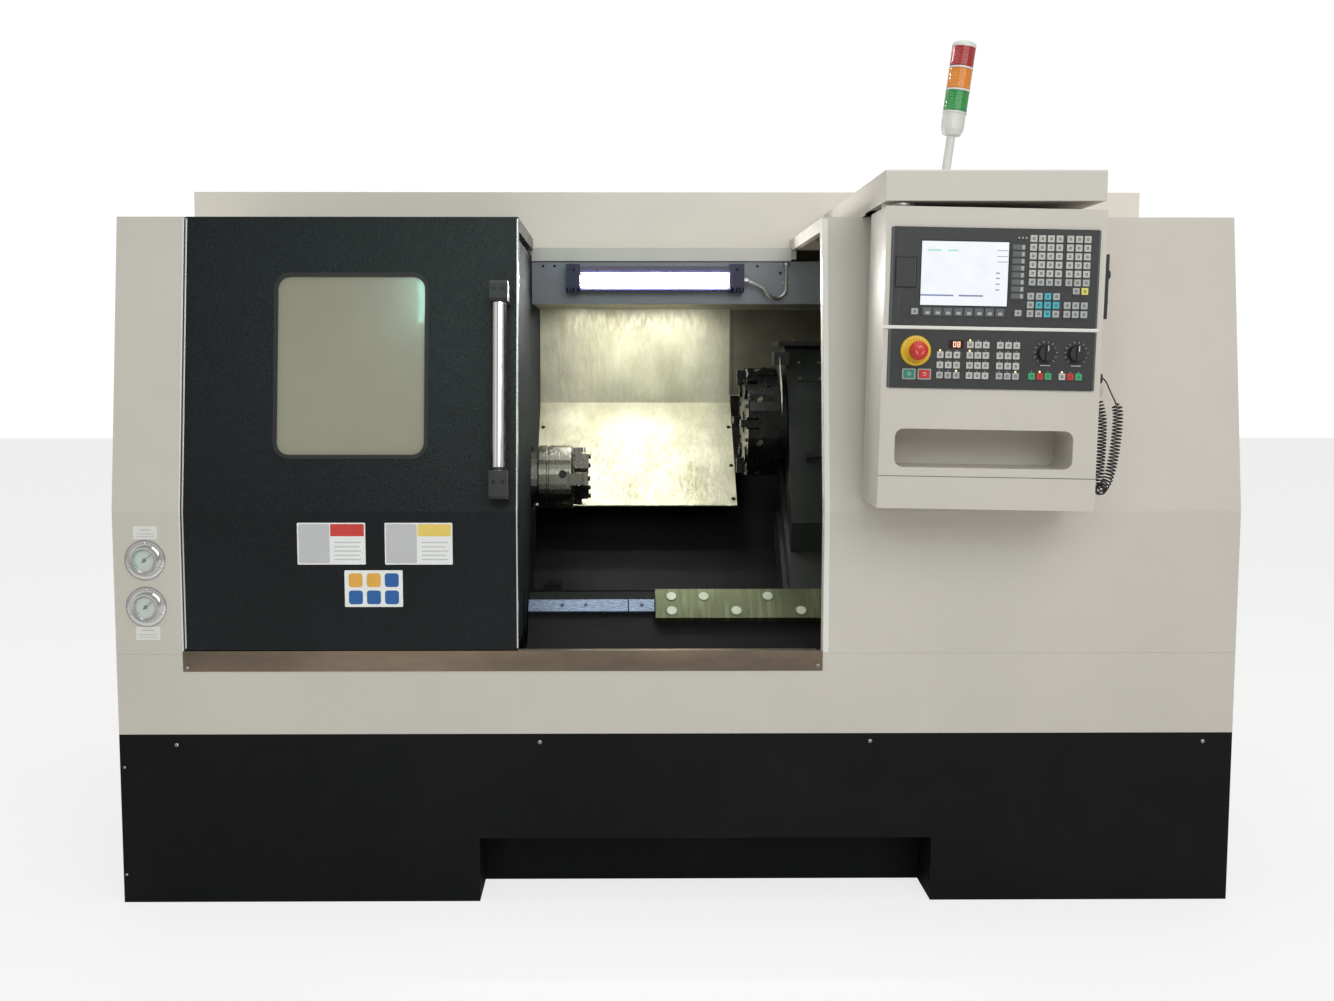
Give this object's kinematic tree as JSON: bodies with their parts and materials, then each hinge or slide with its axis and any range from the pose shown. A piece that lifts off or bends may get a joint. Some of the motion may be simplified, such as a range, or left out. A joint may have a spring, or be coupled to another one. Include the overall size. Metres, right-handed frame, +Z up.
{
  "type": "cnc turning lathe",
  "caption": "Slant-bed CNC turning lathe with a sliding door, chuck, tool turret, swivelling operator pendant and signal tower.",
  "frame": {"origin": "middle of the footprint at the floor, halfway between the front of the emergency stop and the rear of the electrical cabinet", "axes": "+X to the operator's right along the spindle, +Y from the front to the back, +Z up"},
  "size_m": [2.5, 1.8214, 1.9159],
  "materials": {
    "cream_paint": "fine textured cream powder coat",
    "charcoal_paint": "fine textured charcoal powder coat",
    "brushed_steel": "brushed stainless steel, smeared inside the work area",
    "chrome": "polished chrome",
    "casting": "machined and painted grey iron",
    "blackened_steel": "blackened steel, satin",
    "black_plastic": "matte black moulding",
    "black_rubber": "black rubber",
    "panel_grey": "dark grey moulded panel",
    "window_glass": "clear laminated pane",
    "lamp_diffuser": "white lit tube",
    "dark_blue": "dark blue gloss paint",
    "signal_red": "clear red moulding",
    "signal_amber": "clear amber moulding",
    "signal_green": "clear green moulding",
    "dial_ivory": "off white moulding"
  },
  "bodies": {
    "machine": {"back_wall_sheet": "brushed_steel", "base_stand": "charcoal_paint", "bed_casting": "casting", "chip_chute": "brushed_steel", "coolant_tank": "charcoal_paint", "door_rail": "brushed_steel", "drive_belt": "black_rubber", "electrical_cabinet": "cream_paint", "gauge_case_lower": "chrome", "gauge_case_upper": "chrome", "headstock_casting": "casting", "headstock_cover": "cream_paint", "lamp_conduit": "brushed_steel", "lamp_housing": "dark_blue", "lamp_tube": "lamp_diffuser", "left_end_cover": "cream_paint", "lower_cover": "cream_paint", "pendant_hood": "cream_paint", "rear_cover": "cream_paint", "right_end_cover": "cream_paint", "roof_cover": "cream_paint", "signal_amber_lens": "signal_amber", "signal_green_lens": "signal_green", "signal_pole": "dial_ivory", "signal_red_lens": "signal_red", "sill_strip": "brushed_steel", "spindle_motor": "casting", "way_plate": "brushed_steel"},
    "door": {"door_panel": "charcoal_paint", "door_glass": "window_glass", "door_handle_tube": "chrome", "handle_bracket_upper": "black_plastic", "handle_bracket_lower": "black_plastic"},
    "spindle": {"spindle_shaft": "brushed_steel", "chuck_body": "chrome"},
    "jaw_1": {"chuck_jaw_1": "brushed_steel"},
    "jaw_2": {"chuck_jaw_2": "brushed_steel"},
    "jaw_3": {"chuck_jaw_3": "brushed_steel"},
    "motor_pulley": {"motor_pulley": "brushed_steel"},
    "carriage": {"saddle": "casting", "telescopic_cover": "casting"},
    "ball_screw": {"ball_screw": "brushed_steel"},
    "cross_slide": {"cross_slide": "casting", "turret_housing": "casting"},
    "turret": {"turret_disc": "blackened_steel"},
    "pendant": {"pendant_box": "cream_paint", "pendant_shelf": "cream_paint", "display_unit": "panel_grey", "control_panel": "panel_grey", "coil_cord": "black_rubber"},
    "emergency_stop": {"emergency_stop": "signal_red"},
    "green_button": {"green_button": "signal_green"},
    "red_button": {"red_button": "signal_red"},
    "feed_override_knob": {"feed_override_knob": "black_plastic"},
    "spindle_override_knob": {"spindle_override_knob": "black_plastic"},
    "side_knob": {"side_knob": "black_plastic"},
    "key_switch": {"key_switch": "chrome"},
    "gauge_needle_upper": {"gauge_needle_upper": "black_plastic"},
    "gauge_needle_lower": {"gauge_needle_lower": "black_plastic"},
    "cabinet_door": {"cabinet_door": "cream_paint"}
  },
  "joints": [
    {"name": "door_slide", "type": "slide", "parent": "machine", "child": "door", "axis": [1, 0, 0], "range_m": [0, 0.678]},
    {"name": "spindle_spin", "type": "hinge", "parent": "machine", "child": "spindle", "pos_m": [-0.3423, -0.03665, 0.915], "axis": [1, 0, 0], "continuous": true},
    {"name": "jaw_1_slide", "type": "slide", "parent": "spindle", "child": "jaw_1", "axis": [0, -1, 0], "range_m": [-0.0028, 0]},
    {"name": "jaw_2_slide", "type": "slide", "parent": "spindle", "child": "jaw_2", "axis": [0, 0.5, -0.866], "range_m": [-0.0028, 0]},
    {"name": "jaw_3_slide", "type": "slide", "parent": "spindle", "child": "jaw_3", "axis": [0, 0.5, 0.866], "range_m": [-0.0028, 0]},
    {"name": "motor_pulley_spin", "type": "hinge", "parent": "machine", "child": "motor_pulley", "pos_m": [-0.99, -0.31165, 0.215], "axis": [1, 0, 0], "continuous": true},
    {"name": "carriage_slide", "type": "slide", "parent": "machine", "child": "carriage", "axis": [1, 0, 0], "range_m": [-0.35, 0.3]},
    {"name": "ball_screw_spin", "type": "hinge", "parent": "machine", "child": "ball_screw", "pos_m": [-0.335, -0.03765, 0.58711], "axis": [1, 0, 0], "range_deg": [-12700, 10900]},
    {"name": "cross_slide_travel", "type": "slide", "parent": "carriage", "child": "cross_slide", "axis": [0, -0.7071, -0.7071], "range_m": [-0.12, 0.02]},
    {"name": "turret_index", "type": "hinge", "parent": "cross_slide", "child": "turret", "pos_m": [0.212, 0.10335, 1.056], "axis": [1, 0, 0], "continuous": true},
    {"name": "pendant_swivel", "type": "hinge", "parent": "machine", "child": "pendant", "pos_m": [0.452, -0.79665, 1.5445], "axis": [0.0183, 0, 0.9998], "range_deg": [-90, 0]},
    {"name": "emergency_stop_push", "type": "slide", "parent": "pendant", "child": "emergency_stop", "axis": [0, 1, 0], "range_m": [0, 0.006], "stiffness_N_per_m": 2000},
    {"name": "green_button_push", "type": "slide", "parent": "pendant", "child": "green_button", "axis": [0, 1, 0], "range_m": [0, 0.003], "stiffness_N_per_m": 1000},
    {"name": "red_button_push", "type": "slide", "parent": "pendant", "child": "red_button", "axis": [0, 1, 0], "range_m": [0, 0.003], "stiffness_N_per_m": 1000},
    {"name": "feed_override_turn", "type": "hinge", "parent": "pendant", "child": "feed_override_knob", "pos_m": [0.74798, -0.86565, 1.23492], "axis": [0, 1, 0], "range_deg": [-150, 150]},
    {"name": "spindle_override_turn", "type": "hinge", "parent": "pendant", "child": "spindle_override_knob", "pos_m": [0.81137, -0.86565, 1.23376], "axis": [0, 1, 0], "range_deg": [-150, 150]},
    {"name": "side_knob_turn", "type": "hinge", "parent": "pendant", "child": "side_knob", "pos_m": [0.86816, -0.83465, 1.39685], "axis": [0.9998, 0, -0.0183], "range_deg": [-150, 150]},
    {"name": "key_switch_turn", "type": "hinge", "parent": "pendant", "child": "key_switch", "pos_m": [0.86711, -0.83465, 1.33936], "axis": [0.9998, 0, -0.0183], "range_deg": [0, 90]},
    {"name": "upper_gauge_turn", "type": "hinge", "parent": "machine", "child": "gauge_needle_upper", "pos_m": [-1.179, -0.67765, 0.781], "axis": [0, 1, 0], "range_deg": [-185, 85]},
    {"name": "lower_gauge_turn", "type": "hinge", "parent": "machine", "child": "gauge_needle_lower", "pos_m": [-1.179, -0.67765, 0.6765], "axis": [0, 1, 0], "range_deg": [-185, 85]},
    {"name": "cabinet_door_hinge", "type": "hinge", "parent": "machine", "child": "cabinet_door", "pos_m": [1.05, 0.91065, 0.62], "axis": [0, 0, 1], "range_deg": [-110, 0]}
  ],
  "couplings": [
    {"joint": "jaw_2_slide", "follows": "jaw_1_slide", "ratio": 1},
    {"joint": "jaw_3_slide", "follows": "jaw_1_slide", "ratio": 1},
    {"joint": "motor_pulley_spin", "follows": "spindle_spin", "ratio": 1.4167},
    {"joint": "ball_screw_spin", "follows": "carriage_slide", "rad_per_m": 628.32}
  ]
}
